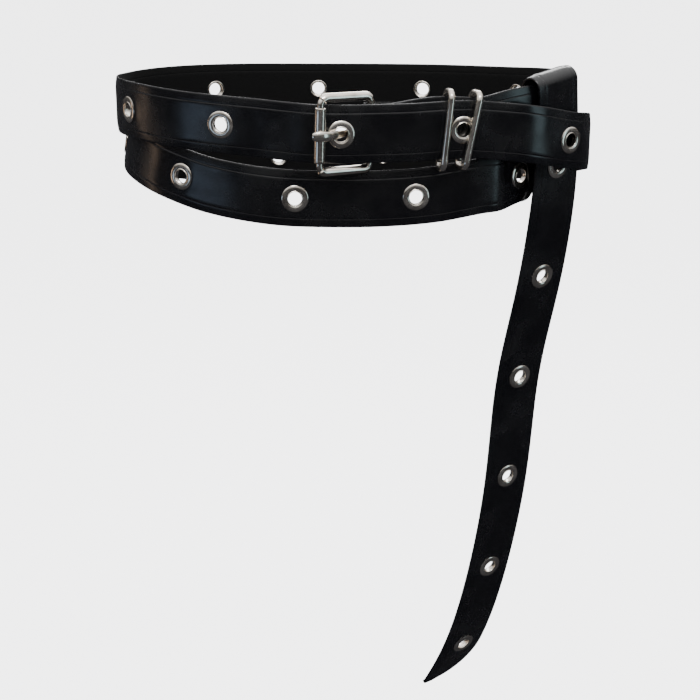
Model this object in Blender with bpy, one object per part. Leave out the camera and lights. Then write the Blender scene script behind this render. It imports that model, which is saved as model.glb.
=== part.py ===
# Wrap belt: one long strap with metal eyelets, wound twice round the waist and fastened in front
# by a roller buckle, its free end turned over the belt at the right and hanging down.
# Metres, +Z up, front towards -Y, origin in the middle of the waist at the first turn's mid height.

import math

import bpy
from mathutils import Matrix, Vector

# Strap
STRAP_WIDTH = 0.033
STRAP_THICKNESS = 0.0028
EDGE_THICKNESS = 0.0014
CREASE_INSET = 0.0048
CREASE_SHARE = 0.3
ROW_SPACING = 0.0105
CLEARANCE = 0.0003

# Eyelets
EYELET_PITCH = 0.070
EYELET_FLANGE = 0.0155
EYELET_HOLE = 0.008
EYELET_WALL = 0.00035
EYELET_WASHER = 0.0115
EYELET_PROUD = 0.0009
EYELET_SIDES = 12
FLANGE_CREST = 0.6
FIRST_EYELET = -9
LAST_EYELET = 19

# Waist, seen from above
WAIST_WIDTH = 0.265
WAIST_DEPTH = 0.184
WAIST_SQUARENESS = 2.2

# Buckle
BAR_DIAMETER = 0.0040
ARM_DIAMETER = 0.0054
ROLLER_DIAMETER = 0.0065
ROLLER_LENGTH = 0.031
ROLLER_COLLAR = 0.0012
ARM_SPACING = 0.0415
CORNER_RADIUS = 0.0042
CORNER_STEPS = 4
WIRE_SIDES = 8
ROLLER_SIDES = 12
ARM_END_SHARE = 0.3
HEEL_AHEAD = 0.0180
ROLLER_BEHIND = 0.0125
FLAP_LENGTH = 0.032
PRONG_THICKNESS = 0.0024
PRONG_HOOK_THICKNESS = 0.0016
PRONG_WIDTH = 0.0062
PRONG_TIP_SHARE = 0.6
HOOK_START = -28.0
HOOK_SWEEP = -242.0
HOOK_PLACES = 11

# Keepers
KEEPER_WIRE = 0.0040
KEEPER_SLACK = 0.0032
KEEPER_LEAN = 7.5
KEEPER_LEFT_AHEAD = 0.0600
KEEPER_RIGHT_AHEAD = 0.0745

# Turned-over end
TAIL_TURN = 58.5
TAIL_SLOPE = 8.0
TAIL_REST_RISE = -0.900
END_MARGIN = 0.040
TAIL_POINT_LENGTH = 0.043

# Steps outwards: touching straps are one ply apart, ease makes room for eyelets
PLY = STRAP_THICKNESS + CLEARANCE
EASE = EYELET_PROUD

# Reach of the waist outline, as a share of the plain oval, where the turned-over end spreads it
WAIST_REACH = (
    # turn, reach
    (0, 1.000),
    (25, 1.000),
    (38, 1.025),
    (49, 1.062),
    (57, 1.084),
    (64, 1.112),
    (73, 1.098),
    (84, 1.058),
    (102, 1.020),
    (122, 0.980),
    (145, 0.945),
    (180, 0.915),
    (215, 0.940),
    (245, 0.990),
    (270, 1.000),
    (335, 1.000),
)

# The strap's way round the waist. Turn is in degrees from the front middle over the right side,
# ply and ease are steps outwards, rise is a share of the strap's width, lean tips the top edge out.
WRAP = (
    # turn, ply, ease, rise, lean
    (26, 0, 0.0, 0.070, 0),
    (37, 0, 0.0, 0.030, 0),
    (46, 0, 0.0, 0.140, 0),
    (57, 0, 0.0, 0.200, 0),
    (75, 0, 0.0, 0.230, 0),
    (95, 0, 0.0, 0.180, 0),
    (130, 0, 0.0, 0.050, 0),
    (180, 0, 0.0, 0.010, 0),
    (228, 0, 0.0, 0.060, 0),
    (258, 0, 0.0, 0.080, 0),
    (275, 0, 0.5, 0.130, 0),
    (300, 0, 0.5, 0.165, 0),
    (322, 0, 0.0, 0.110, 0),
    (340, 0, 0.0, 0.050, 0),
    (349, 0, 3.0, 0.010, 0),
    (355, 1, 2.5, -0.010, 0),
    (361.6, 1, 0.0, -0.030, 0),
    (369, 1, -2.5, -0.035, 0),
    (378, 1, -1.0, -0.025, 0),
    (391, 1, 1.0, 0.005, 0),
    (399, 1, 2.0, -0.040, 0),
    (407, 2, 4.0, -0.110, 0),
    (417, 2, 6.0, -0.260, 0),
    (430, 2, 6.0, -0.440, 0),
    (450, 1, 2.0, -0.740, 0),
    (470, -1, -1.0, -1.010, 0),
    (500, -2, -5.0, -1.230, 0),
    (540, -2, -8.0, -1.290, 0),
    (575, -2, -7.0, -1.280, 0),
    (598, -1, -4.0, -1.080, 0),
    (616, -1, -2.0, -0.760, -5),
    (632, -1, -2.0, -0.560, -10),
    (654, -1, -2.0, -0.640, -8),
    (674, -1, -2.0, -0.860, -3),
    (688, -1, -2.0, -1.040, 0),
    (705, -1, -2.4, -1.175, 0),
    (719, -2, -4.0, -1.232, 0),
    (734, -2, -4.0, -1.230, 0),
    (746, -2, -2.2, -1.185, 0),
    (762, -1, -3.5, -1.060, 0),
)
WRAP_STEP = 1.0

# Places along the route between its tables, and the straight share of the way off the heel bar
JOIN_PLACES = 12
RISE_PLACES = 6
BEND_PLACES = 12
TAIL_PLACES = 80
FLAP_PLACES = 4
FRAME_STEP = 0.0005
HEEL_STRAIGHT = 0.3
# Share of the free length in which the turned-over end comes level
TAIL_SETTLE = 0.16
PRONG_TURN = 361.6

# The free end's tip from the vertical, towards the waist, and its twist towards the front,
# both in degrees along its free length
TAIL_CURL = (
    # along, tip, twist
    (0.00, 3, 0),
    (0.12, 4, 7),
    (0.22, 9, 10),
    (0.36, 14, 11),
    (0.51, 5, 11),
    (0.67, 11, 10),
    (0.83, 18, 9),
    (0.95, 28, 8),
    (1.00, 31, 8),
)

# The prong beside the strap: ahead of its eyelet towards the roller, out from the strap's middle,
# both as shares of the roller's distance, and its width as a share of PRONG_WIDTH
PRONG_SHANK = (
    # ahead, out, width
    (-1.16, -0.315, 0.86),
    (-0.84, -0.375, 0.82),
    (-0.56, -0.385, 0.76),
    (-0.27, -0.275, 0.72),
    (0.00, 0.000, 0.72),
    (0.26, 0.305, 0.78),
    (0.60, 0.610, 0.92),
    (1.00, 0.776, 1.00),
    (1.26, 0.750, 0.90),
    (1.42, 0.690, 0.58),
)


def smooth_value(rows, key, column):
    """A column's value at a key, on a smooth curve through a table's rows"""
    if key <= rows[0][0]:
        return rows[0][column]
    if key >= rows[-1][0]:
        return rows[-1][column]
    index = max(i for i in range(len(rows) - 1) if rows[i][0] <= key)

    def slope(i):
        if i == 0 or i == len(rows) - 1:
            return 0.0
        return (rows[i + 1][column] - rows[i - 1][column]) / (rows[i + 1][0] - rows[i - 1][0])

    span = rows[index + 1][0] - rows[index][0]
    t = (key - rows[index][0]) / span
    start, end = rows[index][column], rows[index + 1][column]
    return (
        (2 * t**3 - 3 * t**2 + 1) * start
        + (t**3 - 2 * t**2 + t) * span * slope(index)
        + (3 * t**2 - 2 * t**3) * end
        + (t**3 - t**2) * span * slope(index + 1)
    )


def waist_point(turn):
    """A point on the waist outline, at the height of the origin"""
    angle = math.radians(turn)
    power = WAIST_SQUARENESS
    oval = (abs(math.sin(angle)) ** power + abs(math.cos(angle)) ** power) ** (-1 / power)
    reach = oval * smooth_value(WAIST_REACH, turn % 360, 1)
    across = WAIST_WIDTH / 2 * math.sin(angle) * reach
    deep = -WAIST_DEPTH / 2 * math.cos(angle) * reach
    return Vector((across, deep, 0))


def waist_outward(turn):
    """The outline's level outward direction"""
    along = waist_point(turn + 1) - waist_point(turn - 1)
    return Vector((along.y, -along.x, 0)).normalized()


def wrap_place(turn):
    """The strap's middle point and its width direction at a turn"""
    outward = waist_outward(turn)
    out = smooth_value(WRAP, turn, 1) * PLY + smooth_value(WRAP, turn, 2) * EASE
    rise = smooth_value(WRAP, turn, 3) * STRAP_WIDTH
    lean = math.radians(smooth_value(WRAP, turn, 4))
    point = waist_point(turn) + outward * out + Vector((0, 0, rise))
    width = Vector((0, 0, math.cos(lean))) + outward * math.sin(lean)
    return point, width


def hermite(start, start_along, end, end_along, steps):
    """Places on a smooth run between two, without its first and last"""
    length = (end[0] - start[0]).length
    places = []
    for i in range(1, steps):
        t = i / steps
        point = (
            start[0] * (2 * t**3 - 3 * t**2 + 1)
            + start_along * (length * (t**3 - 2 * t**2 + t))
            + end[0] * (3 * t**2 - 2 * t**3)
            + end_along * (length * (t**3 - t**2))
        )
        places.append((point, start[1].lerp(end[1], t)))
    return places


def turned_over_frame():
    """Directions of the turned-over end: along the belt, up across it, and outwards"""
    half_turn = math.degrees(STRAP_WIDTH / 2 / waist_point(TAIL_TURN).length)
    level = (waist_point(TAIL_TURN + half_turn) - waist_point(TAIL_TURN - half_turn)).normalized()
    outward = Vector((level.y, -level.x, 0))
    slope = math.radians(TAIL_SLOPE)
    along = level * math.cos(slope) + Vector((0, 0, math.sin(slope)))
    up = Vector((0, 0, math.cos(slope))) - level * math.sin(slope)
    return along, up, outward


# Radius of the diagonal fold and of the bend over the belt's top edge, at the strap's middle
FOLD_RADIUS = (PLY + 2 * EASE) / 2
INSIDE_OUT = -2 * (PLY + EASE)
OUTSIDE_OUT = PLY + 2 * EASE
BEND_RADIUS = (OUTSIDE_OUT - INSIDE_OUT) / 2
FOLD_MARGIN = 0.001
FOLD_BEFORE = STRAP_WIDTH / 2 + FOLD_MARGIN
FOLD_AFTER = STRAP_WIDTH / 2 + math.pi * FOLD_RADIUS * math.sqrt(2) + FOLD_MARGIN
# The strap's middle shifts sideways in the diagonal fold
FOLD_SHIFT = math.pi * FOLD_RADIUS / math.sqrt(2)
LOWER_RISE = TAIL_REST_RISE * STRAP_WIDTH


def fold_origin():
    """Middle of the diagonal fold's line, on the strap's middle surface before the fold"""
    along, up, outward = turned_over_frame()
    bend = bend_middle()
    drop = (bend.z - LOWER_RISE) / up.z
    return bend - up * drop + outward * (INSIDE_OUT - 2 * FOLD_RADIUS) - along * FOLD_SHIFT


def bend_middle():
    """Middle of the bend over the belt's top edge, on the first turn's middle surface"""
    point, _ = wrap_place(TAIL_TURN)
    top = point.z + STRAP_WIDTH / 2 - STRAP_THICKNESS / 2
    return Vector((point.x, point.y, top))


def diagonal_fold(along_strap, across, out):
    """A point of the strap in its diagonal fold, along_strap measured from the fold's middle"""
    along, up, outward = turned_over_frame()
    line = (along + up).normalized()
    beyond = (along - up).normalized()
    on_line = (along_strap + across) / math.sqrt(2)
    past = (along_strap - across) / math.sqrt(2)
    origin = fold_origin()
    if past <= 0:
        return origin + line * on_line + beyond * past + outward * out
    round_length = math.pi * FOLD_RADIUS
    if past >= round_length:
        flat = origin + line * on_line - beyond * (past - round_length)
        return flat + outward * (2 * FOLD_RADIUS - out)
    angle = past / FOLD_RADIUS
    middle = (
        origin
        + line * on_line
        + beyond * (FOLD_RADIUS * math.sin(angle))
        + outward * (FOLD_RADIUS * (1 - math.cos(angle)))
    )
    return middle + (outward * math.cos(angle) - beyond * math.sin(angle)) * out


def measured(places, start):
    """Places with their distance along the strap"""
    rows = []
    length = start
    for i, (point, width) in enumerate(places):
        if i:
            length += (point - places[i - 1][0]).length
        rows.append((length, point, width))
    return rows


def turned_over_places(start_distance):
    """Places from the diagonal fold up, over the belt's top edge and down to the point"""
    along, up, outward = turned_over_frame()
    level = Vector((-outward.y, outward.x, 0))
    middle = bend_middle()
    start = diagonal_fold(FOLD_AFTER, 0, 0)
    inside = middle + outward * INSIDE_OUT
    places = [(start.lerp(inside, i / RISE_PLACES), along) for i in range(RISE_PLACES)]
    centre = middle + outward * (INSIDE_OUT + BEND_RADIUS)
    for i in range(BEND_PLACES + 1):
        angle = math.pi * i / BEND_PLACES
        swing = up * math.sin(angle) - outward * math.cos(angle)
        places.append((centre + swing * BEND_RADIUS, along))
    point = places[-1][0].copy()
    hung = measured(places, start_distance)[-1][0]
    step = (LAST_EYELET * EYELET_PITCH + END_MARGIN - hung) / TAIL_PLACES
    for i in range(1, TAIL_PLACES + 1):
        share = i / TAIL_PLACES
        tip = math.radians(smooth_value(TAIL_CURL, share, 1))
        settle = min(1.0, share / TAIL_SETTLE)
        roll = math.radians(TAIL_SLOPE) * (1 - settle)
        twist = math.radians(smooth_value(TAIL_CURL, share, 2))
        turned = level * math.cos(twist) + outward * math.sin(twist)
        width = turned * math.cos(roll) + Vector((0, 0, math.sin(roll)))
        down = Vector((0, 0, -math.cos(roll))) + level * math.sin(roll)
        point = point + (down * math.cos(tip) - outward * math.sin(tip)) * step
        places.append((point, width))
    return places


def buckle_bars():
    """Frame at the prong's eyelet, and the middles of the roller's bar and of the heel bar"""
    point, width = wrap_place(PRONG_TURN)
    ahead = (wrap_place(PRONG_TURN + 2)[0] - wrap_place(PRONG_TURN - 2)[0]).normalized()
    outward = ahead.cross(width).normalized()
    width = outward.cross(ahead)
    roller_out = STRAP_THICKNESS / 2 + CLEARANCE + ROLLER_DIAMETER / 2
    heel_out = STRAP_THICKNESS * 1.5 + CLEARANCE * 2 + BAR_DIAMETER / 2
    roller = point - ahead * ROLLER_BEHIND + outward * roller_out
    heel = point + ahead * HEEL_AHEAD - outward * heel_out
    return point, ahead, width, outward, roller, heel


def heel_places():
    """Places of the strap's buckle end: the flap, the fold round the heel bar, the way off it"""
    _, ahead, width, outward, _, heel = buckle_bars()
    radius = BAR_DIAMETER / 2 + CLEARANCE + STRAP_THICKNESS / 2
    back = heel - outward * radius
    places = [(back + ahead * FLAP_LENGTH * (1 - i / FLAP_PLACES), width) for i in range(FLAP_PLACES)]
    for i in range(BEND_PLACES + 1):
        angle = math.pi * i / BEND_PLACES
        swing = -outward * math.cos(angle) - ahead * math.sin(angle)
        places.append((heel + swing * radius, width))
    front = heel + outward * radius
    places.append((front + ahead * (HEEL_STRAIGHT * HEEL_AHEAD), width))
    first = wrap_place(WRAP[0][0])
    first_along = (wrap_place(WRAP[0][0] + 1)[0] - wrap_place(WRAP[0][0])[0]).normalized()
    places += hermite(places[-1], ahead, first, first_along, JOIN_PLACES)
    return places


def strap_route():
    """The strap's middle line before and after its diagonal fold, measured from the prong's eyelet"""
    places = heel_places()
    prong_index = 0
    turn = WRAP[0][0]
    turns = []
    while turn <= WRAP[-1][0]:
        turns.append(turn)
        turn += WRAP_STEP
    for turn in turns:
        if turn < PRONG_TURN:
            prong_index = len(places)
        places.append(wrap_place(turn))
    along, up, _ = turned_over_frame()
    end = (diagonal_fold(-FOLD_BEFORE, 0, 0), up)
    last_along = (places[-1][0] - places[-2][0]).normalized()
    places += hermite(places[-1], last_along, end, along, JOIN_PLACES)
    places.append(end)
    before = measured(places, 0)
    prong_point = wrap_place(PRONG_TURN)[0]
    offset = before[prong_index][0] + (prong_point - before[prong_index][1]).length
    before = [(row[0] - offset, row[1], row[2]) for row in before]
    folded = before[-1][0] + FOLD_BEFORE + FOLD_AFTER
    after = measured(turned_over_places(folded), folded)
    return before, after


BEFORE, AFTER = strap_route()
FOLD_MIDDLE = BEFORE[-1][0] + FOLD_BEFORE
STRAP_START = BEFORE[0][0]
STRAP_END = AFTER[-1][0]
POINT_START = STRAP_END - TAIL_POINT_LENGTH


def on_route(rows, distance):
    """Middle point, direction along and width direction at a distance on measured places"""
    distance = min(max(distance, rows[0][0]), rows[-1][0])
    low, high = 0, len(rows) - 1
    while high - low > 1:
        middle = (low + high) // 2
        if rows[middle][0] <= distance:
            low = middle
        else:
            high = middle
    share = (distance - rows[low][0]) / (rows[high][0] - rows[low][0])
    point = rows[low][1].lerp(rows[high][1], share)

    def direction(i):
        return (rows[min(i + 1, len(rows) - 1)][1] - rows[max(i - 1, 0)][1]).normalized()

    along = direction(low).lerp(direction(high), share).normalized()
    width = rows[low][2].lerp(rows[high][2], share)
    width = (width - along * width.dot(along)).normalized()
    return point, along, width


def strap_point(distance, across, out):
    """A point of the strap: distance along it, across its width, and out from its middle"""
    if BEFORE[-1][0] < distance < AFTER[0][0]:
        return diagonal_fold(distance - FOLD_MIDDLE, across, out)
    rows = BEFORE if distance <= BEFORE[-1][0] else AFTER
    point, along, width = on_route(rows, distance)
    return point + width * across + along.cross(width) * out


def strap_frame(distance, reach=0.0):
    """Middle point and directions along, across and out of the strap's face.
    With a reach, the frame of the flat stretch that a stiff piece of that size presses there"""
    step = max(reach, FRAME_STEP)
    before, after = strap_point(distance - step, 0, 0), strap_point(distance + step, 0, 0)
    along = (after - before).normalized()
    width = strap_point(distance, STRAP_WIDTH / 8, 0) - strap_point(distance, -STRAP_WIDTH / 8, 0)
    width = (width - along * width.dot(along)).normalized()
    point = strap_point(distance, 0, 0).lerp((before + after) / 2, 0.5)
    return point, along, width, along.cross(width)


def edges_at(distance):
    """The strap's edges and crease lines across its width"""
    left = -STRAP_WIDTH / 2
    right = STRAP_WIDTH / 2
    if distance > POINT_START:
        share = min((distance - POINT_START) / TAIL_POINT_LENGTH, 1.0)
        right = left + STRAP_WIDTH * math.sqrt(1 - share**2) + EDGE_THICKNESS * share
    inset = min(CREASE_INSET, CREASE_SHARE * (right - left))
    return left, left + inset, right - inset, right


# The strap's cross rows: finer ones at the buckle, in the bends and at the point
HEEL_STEPS = 8
FOLD_STEPS = 8
BEND_STEPS = 8
POINT_SPACING = 0.0046
BUCKLE_REACH = 0.055
BUCKLE_SPACING = 0.006
SLOT_LEAD = 0.008
SPAN_MIN = 0.001
MIDWAY_SLANT = 0.4

# Half the length of strap that carries one eyelet
PATCH_HALF = EYELET_FLANGE / 2 + CLEARANCE
# Length of strap in the fold round the heel bar
HEEL_FOLD_LENGTH = math.pi * (BAR_DIAMETER / 2 + CLEARANCE + STRAP_THICKNESS / 2)
BEND_START = AFTER[RISE_PLACES][0]
BEND_END = BEND_START + math.pi * BEND_RADIUS
SLOT_HALF_WIDTH = PRONG_SHANK[0][2] * PRONG_WIDTH / 2 + 2 * CLEARANCE
SLOT_REACH = BAR_DIAMETER / 2 + PRONG_HOOK_THICKNESS + 3 * CLEARANCE


def eyelet_distances():
    """One eyelet at each pitch. One that would lie in a bend or through the flap sits just beside it"""
    slanted = math.sqrt(2)
    fold_end = BEFORE[-1][0] + FOLD_BEFORE + FOLD_AFTER
    bent = (
        (STRAP_START, STRAP_START + 2 * FLAP_LENGTH + HEEL_FOLD_LENGTH + PATCH_HALF),
        (FOLD_MIDDLE - PATCH_HALF * slanted, fold_end + PATCH_HALF),
        (BEND_START - PATCH_HALF, BEND_END + PATCH_HALF),
    )
    distances = []
    for index in range(FIRST_EYELET, LAST_EYELET + 1):
        distance = index * EYELET_PITCH
        for start, end in bent:
            if start < distance < end:
                distance = start if distance - start < end - distance else end
        distances.append(distance)
    return distances


def cut_spans(spans, start, end, spacing):
    """Spans of strap cut at a start and an end, with a row spacing of their own between these"""
    cut = []
    for low, high, wanted in spans:
        stops = [low] + [s for s in (start, end) if low + SPAN_MIN < s < high - SPAN_MIN] + [high]
        for a, b in zip(stops, stops[1:]):
            inside = start - SPAN_MIN < (a + b) / 2 < end + SPAN_MIN
            cut.append((a, b, spacing if inside else wanted))
    return cut


def strap_rows():
    """The strap's cross rows: distance at the middle, slant along it per width, and kind.
    Rows in the diagonal fold run parallel to the fold's line, so they have a slant of one"""
    heel_start = STRAP_START + FLAP_LENGTH
    slot_end = heel_start + HEEL_FOLD_LENGTH + SLOT_REACH
    rows = [(STRAP_START, 0, "plain"), (heel_start - SLOT_REACH - SLOT_LEAD, 0, "plain")]
    rows.append((heel_start - SLOT_REACH, 0, "slot"))
    rows += [(heel_start + HEEL_FOLD_LENGTH * i / HEEL_STEPS, 0, "slot") for i in range(HEEL_STEPS + 1)]
    rows.append((slot_end, 0, "slot"))
    finer = (
        (BEND_START, BEND_END, (BEND_END - BEND_START) / BEND_STEPS),
        (POINT_START + SLOT_LEAD / 2, STRAP_END, POINT_SPACING),
        (-BUCKLE_REACH, BUCKLE_REACH, BUCKLE_SPACING),
    )
    slanted = math.sqrt(2)
    fold_start, fold_end = BEFORE[-1][0], AFTER[0][0]
    previous = slot_end

    def plain_rows(target):
        spans = [(previous, target, ROW_SPACING)]
        for start, end, spacing in finer:
            spans = cut_spans(spans, start, end, spacing)
        for low, high, wanted in spans:
            count = max(1, round((high - low) / wanted))
            rows.extend((low + (high - low) * i / count, 0, "plain") for i in range(1, count + 1))

    for distance in eyelet_distances():
        if previous < fold_start and distance > fold_end:
            plain_rows(fold_start)
            previous = fold_start
        if previous <= fold_start and distance > fold_end:
            rows += fold_rows()
            previous = fold_end
        plain_rows(distance - PATCH_HALF)
        if fold_start - PATCH_HALF < distance < FOLD_MIDDLE:
            rows.append((distance, MIDWAY_SLANT, "eyelet"))
            rows.append((distance + PATCH_HALF * slanted, 1, "plain"))
            rows += fold_rows()
            previous = fold_end
        else:
            rows.append((distance, 0, "eyelet"))
            rows.append((distance + PATCH_HALF, 0, "plain"))
            previous = distance + PATCH_HALF
    plain_rows(STRAP_END)
    return rows


def fold_rows():
    """Slanted rows round the diagonal fold, then the first straight row behind it"""
    slanted = math.sqrt(2)
    rows = [
        (FOLD_MIDDLE + math.pi * FOLD_RADIUS * slanted * i / FOLD_STEPS, 1, "plain")
        for i in range(FOLD_STEPS + 1)
    ]
    return rows + [(AFTER[0][0], 0, "plain")]


def build_strap():
    """One closed solid: a flat middle, thinner margins, round holes for the eyelets, a prong slot"""
    points = []
    faces = []
    half, edge = STRAP_THICKNESS / 2, EDGE_THICKNESS / 2

    def add(point):
        points.append(point)
        return len(points) - 1

    def make_row(distance, slant, kind, flat_at):
        edges = edges_at(distance)

        def stand(across, height):
            if flat_at is None:
                return add(strap_point(distance + slant * across, across, height))
            centre, along, width, out = strap_frame(flat_at, PATCH_HALF)
            ahead = distance - flat_at + slant * across
            return add(centre + along * ahead + width * across + out * height)

        row = {}
        for side, sign in (("face", 1), ("back", -1)):
            heights = (sign * edge, sign * half, sign * half, sign * edge)
            row[side] = [stand(across, height) for across, height in zip(edges, heights)]
            if kind == "slot":
                row[side + "_slot"] = [
                    stand(-SLOT_HALF_WIDTH, sign * half),
                    stand(SLOT_HALF_WIDTH, sign * half),
                ]
        return row

    def put(loop, flip=False):
        faces.append(tuple(reversed(loop)) if flip else tuple(loop))

    rows = strap_rows()
    made = []
    for index, (distance, slant, kind) in enumerate(rows):
        near = [row[0] for row in rows[max(index - 1, 0):index + 2] if row[2] == "eyelet"]
        made.append(make_row(distance, slant, kind, near[0] if near else None))
    for index in range(len(rows) - 1):
        kind, next_kind = rows[index][2], rows[index + 1][2]
        low, high = made[index], made[index + 1]
        for side, flip in (("face", False), ("back", True)):
            a, b = low[side], high[side]
            put((a[0], b[0], b[1], a[1]), flip)
            put((a[2], b[2], b[3], a[3]), flip)
            if "eyelet" in (kind, next_kind):
                continue
            if kind == "slot" and next_kind == "slot":
                c, d = low[side + "_slot"], high[side + "_slot"]
                put((a[1], b[1], d[0], c[0]), flip)
                put((c[1], d[1], b[2], a[2]), flip)
            elif kind == "slot":
                c = low[side + "_slot"]
                put((a[1], b[1], c[0]), flip)
                put((c[0], b[1], b[2], c[1]), flip)
                put((c[1], b[2], a[2]), flip)
            elif next_kind == "slot":
                d = high[side + "_slot"]
                put((a[1], b[1], d[0]), flip)
                put((a[1], d[0], d[1], a[2]), flip)
                put((d[1], b[2], a[2]), flip)
            else:
                put((a[1], b[1], b[2], a[2]), flip)
        put((low["face"][0], low["back"][0], high["back"][0], high["face"][0]))
        put((low["face"][3], high["face"][3], high["back"][3], low["back"][3]))
        if kind == "slot" and next_kind == "slot":
            face_low, back_low = low["face_slot"], low["back_slot"]
            face_high, back_high = high["face_slot"], high["back_slot"]
            put((face_low[0], face_high[0], back_high[0], back_low[0]))
            put((face_low[1], back_low[1], back_high[1], face_high[1]))
        if kind == "slot" and next_kind != "slot":
            put((low["face_slot"][0], low["back_slot"][0], low["back_slot"][1], low["face_slot"][1]), True)
        if kind != "slot" and next_kind == "slot":
            put((high["face_slot"][0], high["back_slot"][0], high["back_slot"][1], high["face_slot"][1]))
    for index, (distance, _, kind) in enumerate(rows):
        if kind == "eyelet":
            fill_eyelet_patch(points, made[index - 1:index + 2], distance, add, put)
    for row, flip in ((made[0], False), (made[-1], True)):
        put(row["face"] + list(reversed(row["back"])), flip)
    return make_object("strap", points, faces, "strap_gloss")


def fill_eyelet_patch(points, three_rows, distance, add, put):
    """The strap's face and back round one eyelet's hole, and the hole's wall"""
    centre, along, width, out = strap_frame(distance, PATCH_HALF)
    radius = EYELET_HOLE / 2 + EYELET_WALL + CLEARANCE
    before, here, after = three_rows
    rings = {}
    for side, sign in (("face", 1), ("back", -1)):
        ring = []
        for i in range(EYELET_SIDES):
            angle = 2 * math.pi * (i + 0.5) / EYELET_SIDES
            around = along * math.cos(angle) + width * math.sin(angle)
            ring.append(add(centre + around * radius + out * (sign * STRAP_THICKNESS / 2)))
        rings[side] = ring
        border = [after[side][2], here[side][2], before[side][2]]
        border += [before[side][1], here[side][1], after[side][1]]
        # Each border point takes the part of the ring nearest to it, in order round the hole
        starts = []
        for k, corner in enumerate(border):
            pair = (points[border[k - 1]], points[corner])
            reach = [sum((points[v] - end).length for end in pair) for v in ring]
            starts.append(reach.index(min(reach)))
        for k, corner in enumerate(border):
            first, last = starts[k], starts[(k + 1) % len(border)]
            last = last if last >= first else last + EYELET_SIDES
            fan = [ring[j % EYELET_SIDES] for j in range(first, last + 1)]
            for a, b in zip(fan, fan[1:]):
                put((corner, b, a), side == "back")
            put((corner, border[(k + 1) % len(border)], fan[-1]), side == "back")
    for i in range(EYELET_SIDES):
        j = (i + 1) % EYELET_SIDES
        put((rings["face"][i], rings["face"][j], rings["back"][j], rings["back"][i]))


def make_object(name, points, faces, finish):
    """A named object with its finish"""
    mesh = bpy.data.meshes.new(name)
    mesh.from_pydata([tuple(p) for p in points], [], faces)
    mesh.validate()
    mesh.materials.append(FINISHES[finish])
    mesh.shade_smooth()
    mesh.set_sharp_from_angle(angle=math.radians(32))
    made = bpy.data.objects.new(name, mesh)
    bpy.context.scene.collection.objects.link(made)
    return made


def turned_profile(profile, sides):
    """Points and faces of a closed profile of radius and height, turned about the height axis"""
    points = []
    faces = []
    count = len(profile)
    for i in range(sides):
        angle = 2 * math.pi * (i + 0.5) / sides
        for radius, height in profile:
            points.append((radius * math.cos(angle), radius * math.sin(angle), height))
    for i in range(sides):
        j = (i + 1) % sides
        for k in range(count):
            m = (k + 1) % count
            faces.append((i * count + k, j * count + k, j * count + m, i * count + m))
    return points, faces


def swept(stations, sides, closed):
    """Points and faces of an oval section carried along stations.
    A station is its middle, its two section directions and the half sizes along them"""
    points = []
    faces = []
    for middle, first, second, half_first, half_second in stations:
        for k in range(sides):
            angle = 2 * math.pi * (k + 0.5) / sides
            offset = first * (half_first * math.cos(angle)) + second * (half_second * math.sin(angle))
            points.append(middle + offset)
    count = len(stations)
    for i in range(count if closed else count - 1):
        j = (i + 1) % count
        for k in range(sides):
            m = (k + 1) % sides
            faces.append((i * sides + k, i * sides + m, j * sides + m, j * sides + k))
    if not closed:
        faces.append(tuple(reversed(range(sides))))
        faces.append(tuple(range((count - 1) * sides, count * sides)))
    return points, faces


def place(made, middle, along, width, out):
    """Stands an object built in its own frame at a middle, on three directions"""
    turned = Matrix((along, width, out)).transposed().to_4x4()
    made.matrix_world = Matrix.Translation(middle) @ turned


def build_eyelets():
    """One turned eyelet at each pitch, domed in front, with a plain washer behind"""
    hole = EYELET_HOLE / 2
    seat = STRAP_THICKNESS / 2 + CLEARANCE
    crown = STRAP_THICKNESS / 2 + EYELET_PROUD
    profile = (
        (hole + EYELET_WALL, -seat),
        (hole + EYELET_WALL, seat),
        (EYELET_FLANGE / 2, seat),
        (hole + FLANGE_CREST * (EYELET_FLANGE / 2 - hole), crown),
        (hole, crown - EYELET_WALL),
        (hole, -crown + EYELET_WALL),
        (EYELET_WASHER / 2, -seat),
    )
    points, faces = turned_profile(profile, EYELET_SIDES)
    for number, distance in enumerate(eyelet_distances(), start=1):
        made = make_object(f"eyelet_{number:02d}", points, faces, "nickel")
        place(made, *strap_frame(distance, PATCH_HALF))


def loop_stations(corners, radius, corner_steps, section):
    """Stations round a closed flat loop with rounded corners.
    section gives a station's half sizes, in the loop's plane and out of it, at a point"""
    normal = (corners[1] - corners[0]).cross(corners[2] - corners[1]).normalized()
    stations = []
    for i, corner in enumerate(corners):
        back = (corners[i - 1] - corner).normalized()
        on = (corners[(i + 1) % len(corners)] - corner).normalized()
        hub = corner + (back + on) * radius
        for k in range(corner_steps + 1):
            angle = math.pi / 2 * k / corner_steps
            swing = -on * math.cos(angle) - back * math.sin(angle)
            middle = hub + swing * radius
            half_in, half_out = section(middle)
            stations.append((middle, normal, swing, half_out, half_in))
    return stations


def build_buckle_frame():
    """The closed wire frame: two arms, the roller's bar and the heel bar"""
    _, _, width, _, roller, heel = buckle_bars()
    half = ARM_SPACING / 2
    corners = [
        roller - width * half,
        heel - width * half,
        heel + width * half,
        roller + width * half,
    ]

    def section(point):
        on_arm = abs((point - roller).dot(width)) > half - CORNER_RADIUS * ARM_END_SHARE
        radius = (ARM_DIAMETER if on_arm else BAR_DIAMETER) / 2
        return radius, radius

    stations = loop_stations(corners, CORNER_RADIUS, CORNER_STEPS, section)
    points, faces = swept(stations, WIRE_SIDES, True)
    make_object("buckle_frame", points, faces, "nickel")


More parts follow.
